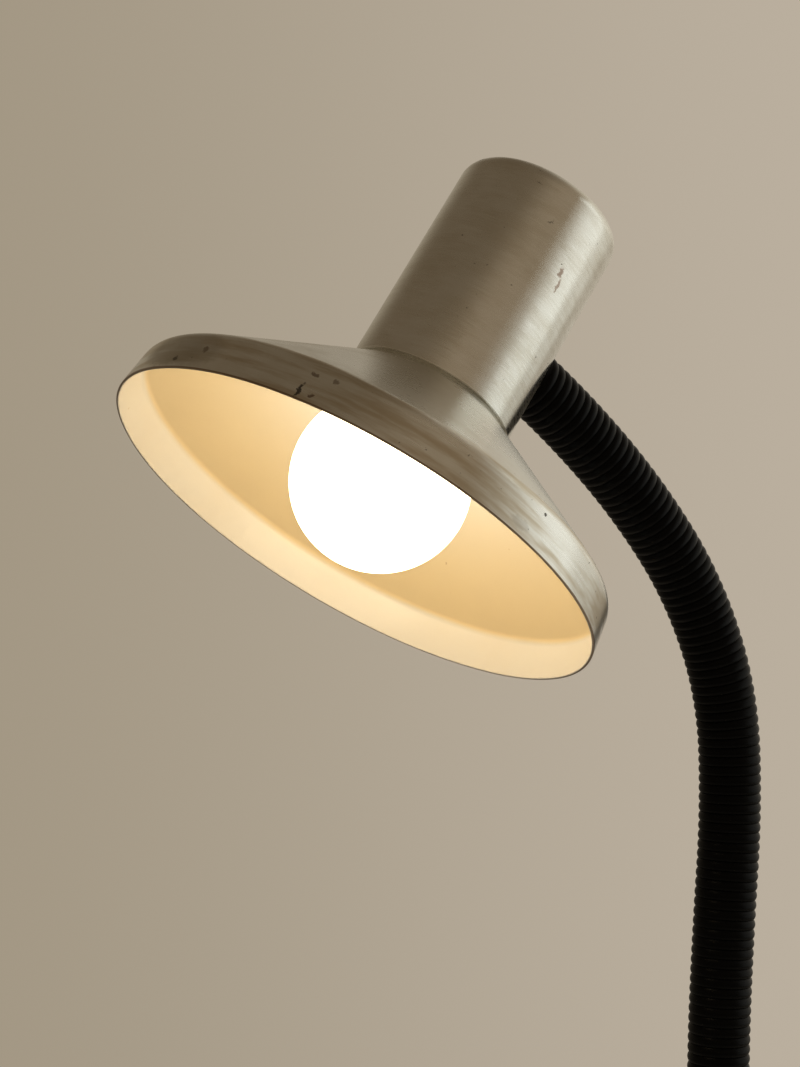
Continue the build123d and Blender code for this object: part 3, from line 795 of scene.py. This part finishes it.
def bulb():
    """The opal globe: a ball, a throat that is one arc, and a straight neck that goes up into the cap."""
    rise = bulb_shoulder + bulb_drop
    throat = (rise**2 + bulb_neck**2 - bulb_radius**2) / (2 * (bulb_radius - bulb_neck))
    throat_x = bulb_neck + throat
    touch = math.atan2(rise, throat_x)
    line = []
    for step in range(ball_steps + 1):
        turn = -math.pi / 2 + (touch + math.pi / 2) * step / ball_steps
        line.append((bulb_radius * math.cos(turn), bulb_radius * math.sin(turn) - bulb_drop))
    for step in range(1, throat_steps + 1):
        turn = touch - math.pi - touch * step / throat_steps
        line.append((throat_x + throat * math.cos(turn), bulb_shoulder + throat * math.sin(turn)))
    line += [
        (bulb_neck, bulb_end - step_foot),
        (bulb_neck - neck_step, bulb_end - step_top),
        (bulb_neck - neck_step, bulb_end),
        (0, bulb_end),
    ]
    mesh = turned_mesh("bulb", line, bulb_sides, closed=False)
    mesh.materials.append(finishes["bulb_opal"])
    made = piece("bulb_globe", mesh, head_place)
    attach(made, "head")
    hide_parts("bulb_glass")


# ---- neck ----


def sleeve_rings(start, end):
    """Distance and radius of each ring of the ribbed sleeve between two distances along the neck."""
    rings = []
    first, last = round(start / rib_pitch), round(end / rib_pitch)
    for rib in range(first, last):
        for part in rib_steps:
            fullness = math.sin(math.pi * part) ** rib_fullness
            rings.append(((rib + part) * rib_pitch, sleeve_radius - rib_depth * (1 - fullness)))
    rings.append((last * rib_pitch, sleeve_radius - rib_depth))
    return rings


def ribbed_sleeve(name, start, end, coped=False):
    """A length of the sleeve, ribbed outside, plain inside, closed at both ends. A coped end fits the cup."""
    outer = sleeve_rings(start, end)
    rings = outer + [(distance, sleeve_inside) for distance, _ in outer[::-bore_steps]]
    bm = bmesh.new()
    made = []
    for distance, radius in rings:
        centre, lean = along_neck(distance)
        across = Vector((math.cos(lean), 0, math.sin(lean)))
        forward = Vector((-math.sin(lean), 0, math.cos(lean)))
        ring = []
        for side in range(sleeve_sides):
            turn = 2 * math.pi * side / sleeve_sides
            point = centre + (across * math.cos(turn) + Vector((0, 1, 0)) * math.sin(turn)) * radius
            if coped and distance > end - tiny:
                sideways = radius * math.sin(turn)
                point += forward * (cup_radius - math.sqrt(cup_radius**2 - sideways**2))
            ring.append(bm.verts.new(point))
        made.append(ring)
    for low, high in zip(made, made[1:] + made[:1]):
        for side in range(sleeve_sides):
            bm.faces.new((low[side - 1], low[side], high[side], high[side - 1]))
    bmesh.ops.recalc_face_normals(bm, faces=bm.faces)
    mesh = bpy.data.meshes.new(name)
    bm.to_mesh(mesh)
    bm.free()
    mesh.materials.append(finishes["neck_black"])
    sleeve = piece(name, mesh)
    return sleeve


def neck():
    """The sleeve in lengths, each shaped over one joint along the neck's resting curve, meeting where the
    neck's links are stiff.
    """
    half = segment_length / 2
    foot = ribbed_sleeve("sleeve_foot", 0.0, half)
    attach(foot, "neck_1")
    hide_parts("neck_sleeve_1")
    for k in range(1, neck_links):
        middle = k * segment_length
        sleeve = ribbed_sleeve(f"sleeve_bend_{k}", middle - half, middle + half)
        low = along_neck(middle - bend_share * half)[0]
        high = along_neck(middle + bend_share * half)[0]
        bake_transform(sleeve)
        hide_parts(f"neck_sleeve_{k + 1}")
    neck_end = neck_links * segment_length
    tip = ribbed_sleeve("sleeve_tip", neck_end - half, neck_end, coped=True)
    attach(tip, "head")


cup()
shade()
bulb()
neck()


# ---- studio ----


floor_radius = 1.9
floor_gap = 0.2 * MM     # under the base's pad
floor_sides = 128
floor_pale = (0.70, 0.65, 0.57)
floor_mottle = (0.64, 0.59, 0.51)
fade_end = floor_radius * 0.97
fade_start = floor_radius * 0.4

wall_left = (0.31, 0.26, 0.19)
wall_right = (0.70, 0.63, 0.52)
near_side = (0.285, 0.22, 0.15)
dark_ceiling = (0.14, 0.105, 0.068)
dark_below = (0.17, 0.145, 0.11)
backdrop_left = (0.36, 0.305, 0.225)
backdrop_right = (0.50, 0.435, 0.35)


def studio_floor():
    """A pale round floor that fades out at its edge, and that isn't there when seen from below."""
    bm = bmesh.new()
    bmesh.ops.create_circle(bm, cap_ends=True, radius=floor_radius, segments=floor_sides)
    mesh = bpy.data.meshes.new("floor")
    bm.to_mesh(mesh)
    bm.free()
    f = finish("pale_floor")
    place = f.place()
    mottle = f.noise(place, 6.0, detail=5.0)
    underside = f.add("ShaderNodeNewGeometry", output="Backfacing")
    f.surface(
        Base_Color=f.mix(mottle * 0.3, floor_pale, floor_mottle),
        Roughness=0.8,
        Alpha=f.step(f.length(place), fade_end, fade_start) * (1 - underside),
    )
    mesh.materials.append(f.owner)
    floor = piece("studio_floor", mesh)
    floor.location.z = -floor_gap
    floor.visible_diffuse = False
    floor.visible_shadow = False


def area_light(name, place, target, width, height, power, colour, mirrored=True):
    """A soft box that faces the target. Metal shows its reflection only where it is mirrored."""
    data = bpy.data.lights.new(name, "AREA")
    data.shape = "RECTANGLE"
    data.size, data.size_y = width, height
    data.energy = power
    data.color = colour
    lamp = bpy.data.objects.new(name, data)
    bpy.context.scene.collection.objects.link(lamp)
    lamp.location = place
    lamp.rotation_euler = (Vector(target) - Vector(place)).to_track_quat("-Z", "Y").to_euler()
    lamp.visible_camera = False
    lamp.visible_glossy = mirrored


view_angle = math.radians(view_turn)
view_right = Vector((math.cos(view_angle), -math.sin(view_angle), 0))
view_forward = Vector((math.sin(view_angle), math.cos(view_angle), 0))


def seen(right, up, forward):
    """A direction given as the photograph's view sees it."""
    return view_right * right + Vector((0, 0, up)) + view_forward * forward


def studio_lights():
    """Two tall windows to the right of the head, and a broad soft ceiling that the metal doesn't mirror."""
    area_light(
        "window", seam + seen(right=2.0, up=0.05, forward=-0.1), seam,
        width=1.2, height=2.3, power=6.2, colour=(0.94, 1.0, 0.98),
    )
    area_light(
        "window_side", seam + seen(right=1.8, up=0.05, forward=0.8), seam,
        width=1.0, height=2.3, power=2.0, colour=(0.94, 1.0, 0.96),
    )
    area_light(
        "ceiling", (0.3, -0.2, 3.2), (0, 0, 0),
        width=3.0, height=3.0, power=62, colour=(1.0, 0.96, 0.9), mirrored=False,
    )


def studio_walls():
    """A warm room for the metal to mirror, pale behind the lamp and dim before it, and a plain backdrop."""
    world = bpy.data.worlds.new("studio")
    bpy.context.scene.world = world
    w = Finish(world)
    direction = w.add("ShaderNodeTexCoord", output="Generated")
    height = w.split(direction)[2]
    facing = w.along(direction, view_forward)
    sideways = w.along(direction, view_right)
    wall = w.mix(w.step(sideways, -0.4, 0.5), wall_left, wall_right)
    room = w.mix(w.step(facing, -0.1, 0.7), near_side, wall)
    room = w.mix(w.step(height - sideways * 0.35, 0.36, 0.88), room, dark_ceiling)
    room = w.mix(w.step(height, 0.05, -0.5), room, dark_below)
    backdrop = w.mix(w.step(sideways, -0.25, 0.25), backdrop_left, backdrop_right)
    camera_ray = w.add("ShaderNodeLightPath", output="Is Camera Ray")
    back = w.add("ShaderNodeBackground", None, {"Color": w.mix(camera_ray, room, backdrop), "Strength": 1.0})
    w.add("ShaderNodeOutputWorld", None, {"Surface": back})


def photo_camera():
    """The photograph's camera: level, with a long lens."""
    data = bpy.data.cameras.new("photo_view")
    data.lens = camera_lens
    data.sensor_width = camera_sensor
    camera = bpy.data.objects.new("photo_view", data)
    bpy.context.scene.collection.objects.link(camera)
    camera.location = camera_place
    camera.rotation_euler = (math.pi / 2, 0, -view_angle)
    bpy.context.scene.camera = camera


photo_camera()
studio_floor()
studio_lights()
studio_walls()
bpy.context.scene.view_settings.view_transform = "Standard"
